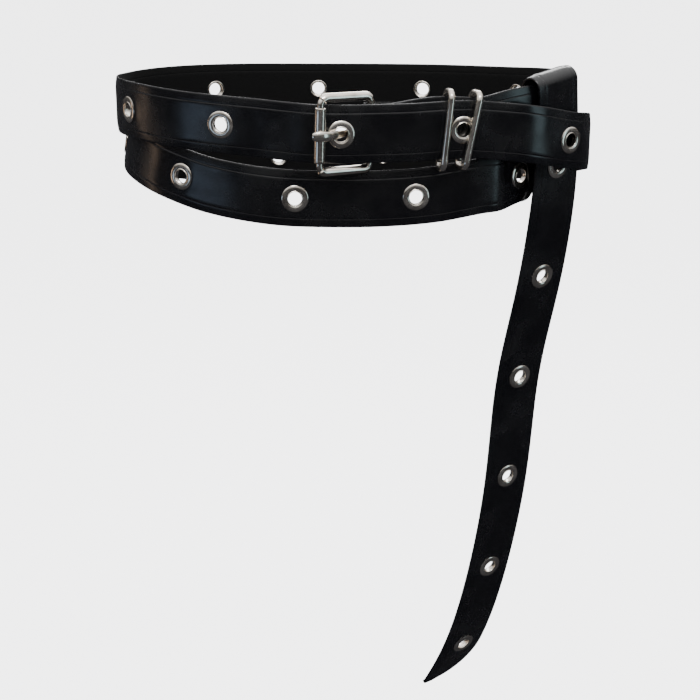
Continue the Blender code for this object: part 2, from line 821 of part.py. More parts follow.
def build_buckle_roller():
    """The sleeve that turns on the frame's bar, with a slight collar at each end"""
    _, ahead, width, _, roller, _ = buckle_bars()
    inner = BAR_DIAMETER / 2 + CLEARANCE
    outer = ROLLER_DIAMETER / 2
    half = ROLLER_LENGTH / 2
    profile = (
        (inner, -half),
        (outer - ROLLER_COLLAR / 3, -half),
        (outer, -half + ROLLER_COLLAR),
        (outer, half - ROLLER_COLLAR),
        (outer - ROLLER_COLLAR / 3, half),
        (inner, half),
    )
    points, faces = turned_profile(profile, ROLLER_SIDES)
    made = make_object("buckle_roller", points, faces, "nickel")
    side = width.cross(ahead).normalized()
    place(made, roller, ahead, side, ahead.cross(side))


def build_buckle_prong():
    """The pin: a hook round the heel bar, up through the eyelet and over the roller"""
    eyelet, ahead, side, outward, _, heel = buckle_bars()
    hook = BAR_DIAMETER / 2 + CLEARANCE + PRONG_HOOK_THICKNESS / 2
    middles = []
    for i in range(HOOK_PLACES):
        angle = math.radians(HOOK_START + HOOK_SWEEP * i / (HOOK_PLACES - 1))
        swing = -ahead * math.cos(angle) + outward * math.sin(angle)
        half_width = PRONG_WIDTH / 2 * PRONG_SHANK[0][2]
        middles.append((heel + swing * hook, half_width, PRONG_HOOK_THICKNESS / 2))
    seat = STRAP_THICKNESS / 2 + CLEARANCE + ROLLER_DIAMETER + CLEARANCE + PRONG_THICKNESS / 2
    over = seat / PRONG_SHANK[7][1]
    for i, (share, out, wide) in enumerate(PRONG_SHANK):
        thickness = PRONG_THICKNESS
        if i == 0:
            thickness = (PRONG_THICKNESS + PRONG_HOOK_THICKNESS) / 2
        if i == len(PRONG_SHANK) - 1:
            thickness = PRONG_THICKNESS * PRONG_TIP_SHARE
        middle = eyelet - ahead * (share * ROLLER_BEHIND) + outward * (out * over)
        middles.append((middle, PRONG_WIDTH / 2 * wide, thickness / 2))
    stations = []
    for i, (middle, half_width, half_thick) in enumerate(middles):
        nearby = middles[min(i + 1, len(middles) - 1)][0] - middles[max(i - 1, 0)][0]
        normal = nearby.normalized().cross(side)
        stations.append((middle, side, normal, half_width, half_thick))
    points, faces = swept(stations, WIRE_SIDES, False)
    make_object("buckle_prong", points, faces, "nickel")


def layer_turn(distance):
    """The turn at which the strap's outer layer has run a distance past the prong's eyelet"""
    goal, _, _ = on_route(BEFORE, distance)
    turns = [PRONG_TURN + i * 0.25 for i in range(400)]
    return min(turns, key=lambda turn: (wrap_place(turn)[0] - goal).length)


def build_keepers():
    """Closed wire loops round both layers of the strap beside the buckle"""
    wire = KEEPER_WIRE / 2
    for name, distance in (("keeper_left", KEEPER_LEFT_AHEAD), ("keeper_right", KEEPER_RIGHT_AHEAD)):
        outer, ahead, width, outward = strap_frame(distance)
        under, _ = wrap_place(layer_turn(distance) - 360)
        offset = under - outer
        under_up, under_out = offset.dot(width), offset.dot(outward)
        lean = math.radians(KEEPER_LEAN)
        up = width * math.cos(lean) + ahead * math.sin(lean)
        reach = 1 / math.cos(lean)
        top = (max(under_up, 0) + STRAP_WIDTH / 2 + 2 * CLEARANCE + wire) * reach
        bottom = -(STRAP_WIDTH / 2 + KEEPER_SLACK + wire) * reach
        front = STRAP_THICKNESS / 2 + EYELET_PROUD + CLEARANCE + wire
        back = under_out - STRAP_THICKNESS / 2 - 2 * CLEARANCE - wire
        corners = [
            outer + up * bottom + outward * front,
            outer + up * top + outward * front,
            outer + up * top + outward * back,
            outer + up * bottom + outward * back,
        ]
        stations = loop_stations(corners, KEEPER_WIRE, CORNER_STEPS, lambda point: (wire, wire))
        points, faces = swept(stations, WIRE_SIDES, True)
        make_object(name, points, faces, "nickel")


def finish_material(name, color, metallic, roughness, coat):
    """A plain Principled finish"""
    material = bpy.data.materials.new(name)
    material.use_nodes = True
    shader = material.node_tree.nodes["Principled BSDF"]
    shader.inputs["Base Color"].default_value = (*color, 1.0)
    shader.inputs["Metallic"].default_value = metallic
    shader.inputs["Roughness"].default_value = roughness
    shader.inputs["Coat Weight"].default_value = coat
    return material


for old in list(bpy.data.objects):
    bpy.data.objects.remove(old, do_unlink=True)

FINISHES = {
    "strap_gloss": finish_material("strap_gloss", (0.012, 0.013, 0.020), 0.0, 0.22, 0.6),
    "nickel": finish_material("nickel", (0.72, 0.69, 0.64), 1.0, 0.20, 0.0),
}

build_strap()
build_eyelets()
build_buckle_frame()
build_buckle_roller()
build_buckle_prong()
build_keepers()
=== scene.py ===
import math

import bpy
from mathutils import Matrix, Vector


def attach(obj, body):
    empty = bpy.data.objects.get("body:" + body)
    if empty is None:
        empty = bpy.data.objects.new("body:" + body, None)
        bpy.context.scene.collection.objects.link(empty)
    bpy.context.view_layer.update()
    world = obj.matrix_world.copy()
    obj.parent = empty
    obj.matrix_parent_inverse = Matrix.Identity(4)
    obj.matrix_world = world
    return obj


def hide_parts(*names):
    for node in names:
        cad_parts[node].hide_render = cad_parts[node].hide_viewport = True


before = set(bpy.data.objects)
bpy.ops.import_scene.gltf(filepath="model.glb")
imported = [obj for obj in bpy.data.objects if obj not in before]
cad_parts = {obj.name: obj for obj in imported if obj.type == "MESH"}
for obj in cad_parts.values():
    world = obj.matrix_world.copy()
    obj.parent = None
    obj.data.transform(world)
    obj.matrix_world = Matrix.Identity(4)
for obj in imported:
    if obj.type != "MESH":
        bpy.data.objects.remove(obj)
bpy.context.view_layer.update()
print("frame loaded")

# Strap, in metres
strap = {
    "width": 0.033,
    "thickness": 0.0028,
    "edgeThickness": 0.0014,
    "creaseInset": 0.0048,
    "creaseShare": 0.3,  # where the strap narrows
    "gap": 0.0003,
}

# Eyelets, counted from the one the prong is in
eyelet = {
    "pitch": 0.070,
    "flange": 0.0155,
    "hole": 0.008,
    "wall": 0.00035,
    "proud": 0.0009,
    "first": -9,
    "last": 19,
}

# Outline of the waist, seen from above
waist = {
    "width": 0.265,
    "depth": 0.184,
    "squareness": 2.2,
}

# Buckle
buckle = {
    "barDiameter": 0.0040,
    "armDiameter": 0.0054,
    "rollerDiameter": 0.0065,
    "rollerLength": 0.031,
    "armSpacing": 0.0415,
    "cornerRadius": 0.0042,
    "heelAhead": 0.0180,
    "rollerBehind": 0.0125,
    "flapLength": 0.032,
    "prongThickness": 0.0024,
    "hookThickness": 0.0016,
    "prongWidth": 0.0062,
    "armEndShare": 0.3,  # of the corner, where the arm's wire thickens
    "leaveShare": 0.3,  # of the heel's distance, straight off the heel bar
    "hookStart": -28.0,
    "hookStep": -24.2,
    "hookPlaces": 11,
    "tipShare": 0.6,
}

# Wire keepers
keeper = {
    "wire": 0.0040,
    "slack": 0.0032,
    "lean": 7.5,
    "distances": {"keeper_left": 0.0600, "keeper_right": 0.0745},
}

# Turned-over end
tail = {
    "turn": 58.5,
    "slope": 8.0,
    "restRise": -0.900,
    "endMargin": 0.040,
    "pointLength": 0.043,
    "settleShare": 0.16,  # of the free length, until it hangs plumb
}

prongTurn = 361.6
wrapStep = 1.0
frameStep = 0.0005  # between the places that a direction is read from
ply = strap["thickness"] + strap["gap"]  # one layer outwards
ease = eyelet["proud"]  # room for eyelets

# Reach of the waist outline, as a share of the plain oval, where the turned-over end spreads it
waistReach = (
    # turn, reach
    (0, 1.000),
    (25, 1.000),
    (38, 1.025),
    (49, 1.062),
    (57, 1.084),
    (64, 1.112),
    (73, 1.098),
    (84, 1.058),
    (102, 1.020),
    (122, 0.980),
    (145, 0.945),
    (180, 0.915),
    (215, 0.940),
    (245, 0.990),
    (270, 1.000),
    (335, 1.000),
)

# The strap's way round the waist. Turn is in degrees from the front middle over the right side,
# ply and ease are steps outwards, rise is a share of the strap's width, lean tips the top edge out.
wrap = (
    # turn, ply, ease, rise, lean
    (26, 0, 0.0, 0.070, 0),
    (37, 0, 0.0, 0.030, 0),
    (46, 0, 0.0, 0.140, 0),
    (57, 0, 0.0, 0.200, 0),
    (75, 0, 0.0, 0.230, 0),
    (95, 0, 0.0, 0.180, 0),
    (130, 0, 0.0, 0.050, 0),
    (180, 0, 0.0, 0.010, 0),
    (228, 0, 0.0, 0.060, 0),
    (258, 0, 0.0, 0.080, 0),
    (275, 0, 0.5, 0.130, 0),
    (300, 0, 0.5, 0.165, 0),
    (322, 0, 0.0, 0.110, 0),
    (340, 0, 0.0, 0.050, 0),
    (349, 0, 3.0, 0.010, 0),
    (355, 1, 2.5, -0.010, 0),
    (361.6, 1, 0.0, -0.030, 0),
    (369, 1, -2.5, -0.035, 0),
    (378, 1, -1.0, -0.025, 0),
    (391, 1, 1.0, 0.005, 0),
    (399, 1, 2.0, -0.040, 0),
    (407, 2, 4.0, -0.110, 0),
    (417, 2, 6.0, -0.260, 0),
    (430, 2, 6.0, -0.440, 0),
    (450, 1, 2.0, -0.740, 0),
    (470, -1, -1.0, -1.010, 0),
    (500, -2, -5.0, -1.230, 0),
    (540, -2, -8.0, -1.290, 0),
    (575, -2, -7.0, -1.280, 0),
    (598, -1, -4.0, -1.080, 0),
    (616, -1, -2.0, -0.760, -5),
    (632, -1, -2.0, -0.560, -10),
    (654, -1, -2.0, -0.640, -8),
    (674, -1, -2.0, -0.860, -3),
    (688, -1, -2.0, -1.040, 0),
    (705, -1, -2.4, -1.175, 0),
    (719, -2, -4.0, -1.232, 0),
    (734, -2, -4.0, -1.230, 0),
    (746, -2, -2.2, -1.185, 0),
    (762, -1, -3.5, -1.060, 0),
)

# The free end's tip from the vertical, towards the waist, and its twist towards the front,
# both in degrees along its free length
tailCurl = (
    # along, tip, twist
    (0.00, 3, 0),
    (0.12, 4, 7),
    (0.22, 9, 10),
    (0.36, 14, 11),
    (0.51, 5, 11),
    (0.67, 11, 10),
    (0.83, 18, 9),
    (0.95, 28, 8),
    (1.00, 31, 8),
)

# The prong beside the strap: ahead of its eyelet towards the roller, out from the strap's middle,
# both as shares of the roller's distance, and its width as a share of buckle["prongWidth"]
prongShank = (
    # ahead, out, width
    (-1.16, -0.315, 0.86),
    (-0.84, -0.375, 0.82),
    (-0.56, -0.385, 0.76),
    (-0.27, -0.275, 0.72),
    (0.00, 0.000, 0.72),
    (0.26, 0.305, 0.78),
    (0.60, 0.610, 0.92),
    (1.00, 0.776, 1.00),
    (1.26, 0.750, 0.90),
    (1.42, 0.690, 0.58),
)
rollerRow = 7  # the row that lies on top of the roller


# A column's value at a key, on a smooth curve through a table's rows
def smoothValue(rows, key, column):
    if key <= rows[0][0]:
        return rows[0][column]
    if key >= rows[-1][0]:
        return rows[-1][column]
    index = max(i for i in range(len(rows) - 1) if rows[i][0] <= key)

    def slope(i):
        if i == 0 or i == len(rows) - 1:
            return 0.0
        return (rows[i + 1][column] - rows[i - 1][column]) / (rows[i + 1][0] - rows[i - 1][0])

    span = rows[index + 1][0] - rows[index][0]
    t = (key - rows[index][0]) / span
    start, end = rows[index][column], rows[index + 1][column]
    return (
        (2 * t**3 - 3 * t**2 + 1) * start
        + (t**3 - 2 * t**2 + t) * span * slope(index)
        + (3 * t**2 - 2 * t**3) * end
        + (t**3 - t**2) * span * slope(index + 1)
    )


# A point on the waist outline, at the height of the origin
def waistPoint(turn):
    angle = math.radians(turn)
    power = waist["squareness"]
    oval = (abs(math.sin(angle)) ** power + abs(math.cos(angle)) ** power) ** (-1 / power)
    reach = oval * smoothValue(waistReach, turn % 360, 1)
    across = waist["width"] / 2 * math.sin(angle) * reach
    deep = -waist["depth"] / 2 * math.cos(angle) * reach
    return Vector((across, deep, 0))


# The outline's level outward direction
def waistOutward(turn):
    along = waistPoint(turn + 1) - waistPoint(turn - 1)
    return Vector((along.y, -along.x, 0)).normalized()


# The strap's middle point and its width direction at a turn
def wrapPlace(turn):
    outward = waistOutward(turn)
    out = smoothValue(wrap, turn, 1) * ply + smoothValue(wrap, turn, 2) * ease
    rise = smoothValue(wrap, turn, 3) * strap["width"]
    lean = math.radians(smoothValue(wrap, turn, 4))
    point = waistPoint(turn) + outward * out + Vector((0, 0, rise))
    width = Vector((0, 0, math.cos(lean))) + outward * math.sin(lean)
    return point, width


# Places on each stretch of the route
routeSteps = {
    "flap": 4,
    "heel": 12,
    "offHeel": 10,
    "intoFold": 12,
    "inside": 6,
    "bend": 12,
    "hanging": 80,
}


# Places on a smooth run between two, without its first and last
def hermite(start, startAlong, end, endAlong, steps):
    length = (end[0] - start[0]).length
    places = []
    for i in range(1, steps):
        t = i / steps
        point = (
            start[0] * (2 * t**3 - 3 * t**2 + 1)
            + startAlong * (length * (t**3 - 2 * t**2 + t))
            + end[0] * (3 * t**2 - 2 * t**3)
            + endAlong * (length * (t**3 - t**2))
        )
        places.append((point, start[1].lerp(end[1], t)))
    return places


# Directions of the turned-over end: along the belt, up across it, and outwards
def turnedOverFrame():
    halfTurn = math.degrees(strap["width"] / 2 / waistPoint(tail["turn"]).length)
    level = (waistPoint(tail["turn"] + halfTurn) - waistPoint(tail["turn"] - halfTurn)).normalized()
    outward = Vector((level.y, -level.x, 0))
    slope = math.radians(tail["slope"])
    along = level * math.cos(slope) + Vector((0, 0, math.sin(slope)))
    up = Vector((0, 0, math.cos(slope))) - level * math.sin(slope)
    return along, up, outward


# Radius of the diagonal fold and of the bend over the belt's top edge, at the strap's middle
foldRadius = (ply + 2 * ease) / 2
insideOut = -2 * (ply + ease)
outsideOut = ply + 2 * ease
bendRadius = (outsideOut - insideOut) / 2
foldMargin = 0.001
foldBefore = strap["width"] / 2 + foldMargin
foldAfter = strap["width"] / 2 + math.pi * foldRadius * math.sqrt(2) + foldMargin
# The strap's middle shifts sideways in the diagonal fold
foldShift = math.pi * foldRadius / math.sqrt(2)
lowerRise = tail["restRise"] * strap["width"]


# Middle of the diagonal fold's line, on the strap's middle surface before the fold
def foldOrigin():
    along, up, outward = turnedOverFrame()
    bend = bendMiddle()
    drop = (bend.z - lowerRise) / up.z
    return bend - up * drop + outward * (insideOut - 2 * foldRadius) - along * foldShift


# Middle of the bend over the belt's top edge, on the first turn's middle surface
def bendMiddle():
    point, _ = wrapPlace(tail["turn"])
    top = point.z + strap["width"] / 2 - strap["thickness"] / 2
    return Vector((point.x, point.y, top))


# A point of the strap in its diagonal fold, alongStrap measured from the fold's middle
def diagonalFold(alongStrap, across, out):
    along, up, outward = turnedOverFrame()
    line = (along + up).normalized()
    beyond = (along - up).normalized()
    onLine = (alongStrap + across) / math.sqrt(2)
    past = (alongStrap - across) / math.sqrt(2)
    origin = foldOrigin()
    if past <= 0:
        return origin + line * onLine + beyond * past + outward * out
    roundLength = math.pi * foldRadius
    if past >= roundLength:
        flat = origin + line * onLine - beyond * (past - roundLength)
        return flat + outward * (2 * foldRadius - out)
    angle = past / foldRadius
    middle = (
        origin
        + line * onLine
        + beyond * (foldRadius * math.sin(angle))
        + outward * (foldRadius * (1 - math.cos(angle)))
    )
    return middle + (outward * math.cos(angle) - beyond * math.sin(angle)) * out


# Places with their distance along the strap
def measured(places, start):
    rows = []
    length = start
    for i, (point, width) in enumerate(places):
        if i:
            length += (point - places[i - 1][0]).length
        rows.append((length, point, width))
    return rows


# Places from the diagonal fold up, over the belt's top edge and down to the point
def turnedOverPlaces(startDistance):
    along, up, outward = turnedOverFrame()
    level = Vector((-outward.y, outward.x, 0))
    middle = bendMiddle()
    start = diagonalFold(foldAfter, 0, 0)
    inside = middle + outward * insideOut
    count = routeSteps["inside"]
    places = [(start.lerp(inside, i / count), along) for i in range(count)]
    centre = middle + outward * (insideOut + bendRadius)
    for i in range(routeSteps["bend"] + 1):
        angle = math.pi * i / routeSteps["bend"]
        swing = up * math.sin(angle) - outward * math.cos(angle)
        places.append((centre + swing * bendRadius, along))
    point = places[-1][0].copy()
    steps = routeSteps["hanging"]
    hung = measured(places, startDistance)[-1][0]
    step = (eyelet["last"] * eyelet["pitch"] + tail["endMargin"] - hung) / steps
    for i in range(1, steps + 1):
        share = i / steps
        tip = math.radians(smoothValue(tailCurl, share, 1))
        settle = min(1.0, share / tail["settleShare"])
        roll = math.radians(tail["slope"]) * (1 - settle)
        twist = math.radians(smoothValue(tailCurl, share, 2))
        turned = level * math.cos(twist) + outward * math.sin(twist)
        width = turned * math.cos(roll) + Vector((0, 0, math.sin(roll)))
        down = Vector((0, 0, -math.cos(roll))) + level * math.sin(roll)
        point = point + (down * math.cos(tip) - outward * math.sin(tip)) * step
        places.append((point, width))
    return places


# Frame at the prong's eyelet, and the middles of the roller's bar and of the heel bar
def buckleBars():
    point, width = wrapPlace(prongTurn)
    ahead = (wrapPlace(prongTurn + 2)[0] - wrapPlace(prongTurn - 2)[0]).normalized()
    outward = ahead.cross(width).normalized()
    width = outward.cross(ahead)
    rollerOut = strap["thickness"] / 2 + strap["gap"] + buckle["rollerDiameter"] / 2
    heelOut = strap["thickness"] * 1.5 + strap["gap"] * 2 + buckle["barDiameter"] / 2
    roller = point - ahead * buckle["rollerBehind"] + outward * rollerOut
    heel = point + ahead * buckle["heelAhead"] - outward * heelOut
    return point, ahead, width, outward, roller, heel


# Places of the strap's buckle end: the flap, the fold round the heel bar, the way off it
def heelPlaces():
    _, ahead, width, outward, _, heel = buckleBars()
    radius = buckle["barDiameter"] / 2 + strap["gap"] + strap["thickness"] / 2
    back = heel - outward * radius
    count = routeSteps["flap"]
    places = [(back + ahead * buckle["flapLength"] * (1 - i / count), width) for i in range(count)]
    for i in range(routeSteps["heel"] + 1):
        angle = math.pi * i / routeSteps["heel"]
        swing = -outward * math.cos(angle) - ahead * math.sin(angle)
        places.append((heel + swing * radius, width))
    front = heel + outward * radius
    places.append((front + ahead * buckle["leaveShare"] * buckle["heelAhead"], width))
    first = wrapPlace(wrap[0][0])
    firstAlong = (wrapPlace(wrap[0][0] + 1)[0] - wrapPlace(wrap[0][0])[0]).normalized()
    places += hermite(places[-1], ahead, first, firstAlong, routeSteps["offHeel"])
    return places


# The strap's middle line before and after its diagonal fold, measured from the prong's eyelet
def strapRoute():
    places = heelPlaces()
    prongIndex = 0
    turn = wrap[0][0]
    turns = []
    while turn <= wrap[-1][0]:
        turns.append(turn)
        turn += wrapStep
    for turn in turns:
        if turn < prongTurn:
            prongIndex = len(places)
        places.append(wrapPlace(turn))
    along, up, _ = turnedOverFrame()
    end = (diagonalFold(-foldBefore, 0, 0), up)
    lastAlong = (places[-1][0] - places[-2][0]).normalized()
    places += hermite(places[-1], lastAlong, end, along, routeSteps["intoFold"])
    places.append(end)
    before = measured(places, 0)
    prongPoint = wrapPlace(prongTurn)[0]
    offset = before[prongIndex][0] + (prongPoint - before[prongIndex][1]).length
    before = [(row[0] - offset, row[1], row[2]) for row in before]
    folded = before[-1][0] + foldBefore + foldAfter
    after = measured(turnedOverPlaces(folded), folded)
    return before, after


beforeFold, afterFold = strapRoute()
foldMiddle = beforeFold[-1][0] + foldBefore
strapStart = beforeFold[0][0]
strapEnd = afterFold[-1][0]
pointStart = strapEnd - tail["pointLength"]


# Middle point, direction along and width direction at a distance on measured places
def onRoute(rows, distance):
    distance = min(max(distance, rows[0][0]), rows[-1][0])
    low, high = 0, len(rows) - 1
    while high - low > 1:
        middle = (low + high) // 2
        if rows[middle][0] <= distance:
            low = middle
        else:
            high = middle
    share = (distance - rows[low][0]) / (rows[high][0] - rows[low][0])
    point = rows[low][1].lerp(rows[high][1], share)

    def direction(i):
        return (rows[min(i + 1, len(rows) - 1)][1] - rows[max(i - 1, 0)][1]).normalized()

    along = direction(low).lerp(direction(high), share).normalized()
    width = rows[low][2].lerp(rows[high][2], share)
    width = (width - along * width.dot(along)).normalized()
    return point, along, width


# A point of the strap: distance along it, across its width, and out from its middle
def strapPoint(distance, across, out):
    if beforeFold[-1][0] < distance < afterFold[0][0]:
        return diagonalFold(distance - foldMiddle, across, out)
    rows = beforeFold if distance <= beforeFold[-1][0] else afterFold
    point, along, width = onRoute(rows, distance)
    return point + width * across + along.cross(width) * out


# Middle point and directions along, across and out of the strap's face.
# With a reach, the frame of the flat stretch that a stiff piece of that size presses there
def strapFrame(distance, reach=0.0):
    step = max(reach, frameStep)
    before, after = strapPoint(distance - step, 0, 0), strapPoint(distance + step, 0, 0)
    along = (after - before).normalized()
    width = strapPoint(distance, strap["width"] / 8, 0) - strapPoint(distance, -strap["width"] / 8, 0)
    width = (width - along * width.dot(along)).normalized()
    point = strapPoint(distance, 0, 0).lerp((before + after) / 2, 0.5)
    return point, along, width, along.cross(width)


# The strap's edges and crease lines across its width
def edgesAt(distance):
    left = -strap["width"] / 2
    right = strap["width"] / 2
    if distance > pointStart:
        share = min((distance - pointStart) / tail["pointLength"], 1.0)
        right = left + strap["width"] * math.sqrt(1 - share**2) + strap["edgeThickness"] * share
    inset = min(strap["creaseInset"], strap["creaseShare"] * (right - left))
    return left, left + inset, right - inset, right


# Half the length of strap that carries one eyelet
patchHalf = eyelet["flange"] / 2 + strap["gap"]
bendStart = afterFold[routeSteps["inside"]][0]
bendEnd = bendStart + math.pi * bendRadius
slotHalfWidth = prongShank[0][2] * buckle["prongWidth"] / 2 + 2 * strap["gap"]
slotReach = buckle["barDiameter"] / 2 + buckle["hookThickness"] + 3 * strap["gap"]


# One eyelet at each pitch. One that would lie in a sharp bend sits on the flat just beside it
def eyeletDistances():
    slanted = math.sqrt(2)
    foldEnd = beforeFold[-1][0] + foldBefore + foldAfter
    bent = (
        (foldMiddle - patchHalf * slanted, foldEnd + patchHalf),
        (bendStart - patchHalf, bendEnd + patchHalf),
    )
    distances = []
    for index in range(eyelet["first"], eyelet["last"] + 1):
        distance = index * eyelet["pitch"]
        for start, end in bent:
            if start < distance < end:
                distance = start if distance - start < end - distance else end
        distances.append(distance)
    return distances


# Steps round the metal parts
smoothness = {
    "corner": 14,
    "wire": 28,
    "pin": 12,
    "roller": 56,
    "eyelet": 48,
}


# Points and faces of a closed profile of radius and height, turned about the height axis
def turnedProfile(profile, sides):
    points = []
    faces = []
    count = len(profile)
    for i in range(sides):
        angle = 2 * math.pi * (i + 0.5) / sides
        for radius, height in profile:
            points.append((radius * math.cos(angle), radius * math.sin(angle), height))
    for i in range(sides):
        j = (i + 1) % sides
        for k in range(count):
            m = (k + 1) % count
            faces.append((i * count + k, j * count + k, j * count + m, i * count + m))
    return points, faces


# Points and faces of an oval section carried along stations.
# A station is its middle, its two section directions and the half sizes along them
def swept(stations, sides, closed):
    points = []
    faces = []
    for middle, first, second, halfFirst, halfSecond in stations:
        for k in range(sides):
            angle = 2 * math.pi * (k + 0.5) / sides
            offset = first * (halfFirst * math.cos(angle)) + second * (halfSecond * math.sin(angle))
            points.append(middle + offset)
    count = len(stations)
    for i in range(count if closed else count - 1):
        j = (i + 1) % count
        for k in range(sides):
            m = (k + 1) % sides
            faces.append((i * sides + k, i * sides + m, j * sides + m, j * sides + k))
    if not closed:
        faces.append(tuple(reversed(range(sides))))
        faces.append(tuple(range((count - 1) * sides, count * sides)))
    return points, faces


# Stations round a closed flat loop with rounded corners.
# section gives a station's half sizes, in the loop's plane and out of it, at a point
def loopStations(corners, radius, cornerSteps, section):
    normal = (corners[1] - corners[0]).cross(corners[2] - corners[1]).normalized()
    stations = []
    for i, corner in enumerate(corners):
        back = (corners[i - 1] - corner).normalized()
        on = (corners[(i + 1) % len(corners)] - corner).normalized()
        hub = corner + (back + on) * radius
        for k in range(cornerSteps + 1):
            angle = math.pi / 2 * k / cornerSteps
            swing = -on * math.cos(angle) - back * math.sin(angle)
            middle = hub + swing * radius
            halfIn, halfOut = section(middle)
            stations.append((middle, normal, swing, halfOut, halfIn))
    return stations


# The closed wire frame: two arms, the roller's bar and the heel bar
def buildBuckleFrame(finish):
    _, _, width, _, roller, heel = buckleBars()
    half = buckle["armSpacing"] / 2
    corners = [
        roller - width * half,
        heel - width * half,
        heel + width * half,
        roller + width * half,
    ]

    def section(point):
        onArm = abs((point - roller).dot(width)) > half - buckle["cornerRadius"] * buckle["armEndShare"]
        radius = (buckle["armDiameter"] if onArm else buckle["barDiameter"]) / 2
        return radius, radius

    stations = loopStations(corners, buckle["cornerRadius"], smoothness["corner"], section)
    points, faces = swept(stations, smoothness["wire"], True)
    return newPiece("frameWire", points, faces, finish)


# The pin: a hook round the heel bar, up through the eyelet and over the roller
def buildBuckleProng(finish):
    seatAt, ahead, side, outward, _, heel = buckleBars()
    hook = buckle["barDiameter"] / 2 + strap["gap"] + buckle["hookThickness"] / 2
    middles = []
    for i in range(buckle["hookPlaces"]):
        angle = math.radians(buckle["hookStart"] + buckle["hookStep"] * i)
        swing = -ahead * math.cos(angle) + outward * math.sin(angle)
        halfWidth = buckle["prongWidth"] / 2 * prongShank[0][2]
        middles.append((heel + swing * hook, halfWidth, buckle["hookThickness"] / 2))
    seat = strap["thickness"] / 2 + strap["gap"] + buckle["rollerDiameter"] + strap["gap"]
    seat += buckle["prongThickness"] / 2
    over = seat / prongShank[rollerRow][1]
    for i, (share, out, wide) in enumerate(prongShank):
        thickness = buckle["prongThickness"]
        if i == 0:
            thickness = (buckle["prongThickness"] + buckle["hookThickness"]) / 2
        if i == len(prongShank) - 1:
            thickness = buckle["prongThickness"] * buckle["tipShare"]
        middle = seatAt - ahead * (share * buckle["rollerBehind"]) + outward * (out * over)
        middles.append((middle, buckle["prongWidth"] / 2 * wide, thickness / 2))
    stations = []
    for i, (middle, halfWidth, halfThick) in enumerate(middles):
        nearby = middles[min(i + 1, len(middles) - 1)][0] - middles[max(i - 1, 0)][0]
        normal = nearby.normalized().cross(side)
        stations.append((middle, side, normal, halfWidth, halfThick))
    points, faces = swept(stations, smoothness["pin"], False)
    piece = newPiece("bucklePin", points, faces, finish, sharp=75)
    rounded = piece.modifiers.new("rounded", "SUBSURF")
    rounded.levels = rounded.render_levels = 2
    settleModifiers(piece)
    return piece


# The turn at which the strap's outer layer has run a distance past the prong's eyelet
def layerTurn(distance):
    goal, _, _ = onRoute(beforeFold, distance)
    step, count = 0.25, 400
    turns = [prongTurn + i * step for i in range(count)]
    return min(turns, key=lambda turn: (wrapPlace(turn)[0] - goal).length)


# A node's name as a piece's name
def camelName(node):
    first, second = node.split("_")
    return first + second.capitalize() + "Wire"


# Closed wire loops round both layers of the strap beside the buckle
def buildKeepers(finish):
    wire = keeper["wire"] / 2
    made = {}
    for name, distance in keeper["distances"].items():
        outer, ahead, width, outward = strapFrame(distance)
        under, _ = wrapPlace(layerTurn(distance) - 360)
        offset = under - outer
        underUp, underOut = offset.dot(width), offset.dot(outward)
        lean = math.radians(keeper["lean"])
        up = width * math.cos(lean) + ahead * math.sin(lean)
        reach = 1 / math.cos(lean)
        top = (max(underUp, 0) + strap["width"] / 2 + 2 * strap["gap"] + wire) * reach
        bottom = -(strap["width"] / 2 + keeper["slack"] + wire) * reach
        front = strap["thickness"] / 2 + eyelet["proud"] + strap["gap"] + wire
        back = underOut - strap["thickness"] / 2 - 2 * strap["gap"] - wire
        corners = [
            outer + up * bottom + outward * front,
            outer + up * top + outward * front,
            outer + up * top + outward * back,
            outer + up * bottom + outward * back,
        ]
        stations = loopStations(corners, keeper["wire"], smoothness["corner"], lambda point: (wire, wire))
        points, faces = swept(stations, smoothness["wire"], True)
        made[name] = newPiece(camelName(name), points, faces, finish)
    return made


print("route found: strap of %.2f m" % (strapEnd - strapStart))

# Detail of the visible strap
strapDetail = {
    "rowSpacing": 0.0024,
    "bendSpacing": 0.0009,
    "pointSpacing": 0.0011,
    "fanRows": 12,
    "foldRows": 16,
    "holeRadius": 0.0051,
    "pressedWithin": 0.0085,  # round an eyelet the strap is pressed flat
    "pressedUntil": 0.0125,
    "sharpAngle": 38,
}

# Across the strap from either edge: inset in metres, and share of the full thickness
edgeSection = (
    (0.00000, 0.30),
    (0.00022, 0.42),
    (0.00070, 0.52),
    (0.00160, 0.60),
    (0.00290, 0.74),
    (0.00400, 0.85),
    (0.00455, 0.87),
    (0.00480, 0.80),
    (0.00510, 0.90),
    (0.00580, 0.99),
)
# Between them, in metres from the strap's middle
middleSection = (0.0093, 0.0078, 0.0065, 0.0052, 0.0039, slotHalfWidth, 0.0013)


# A mesh object in the scene, smooth, with its sharp edges kept
def newPiece(name, points, faces, finish, sharp=35):
    mesh = bpy.data.meshes.new(name)
    mesh.from_pydata([tuple(p) for p in points], [], faces)
    mesh.validate()
    if finish:
        mesh.materials.append(finish)
    mesh.shade_smooth()
    mesh.set_sharp_from_angle(angle=math.radians(sharp))
    piece = bpy.data.objects.new(name, mesh)
    bpy.context.scene.collection.objects.link(piece)
    return piece


# Modifiers turned into plain mesh
def settleModifiers(piece):
    bpy.context.view_layer.update()
    done = bpy.data.meshes.new_from_object(piece.evaluated_get(bpy.context.evaluated_depsgraph_get()))
    piece.modifiers.clear()
    piece.data = done


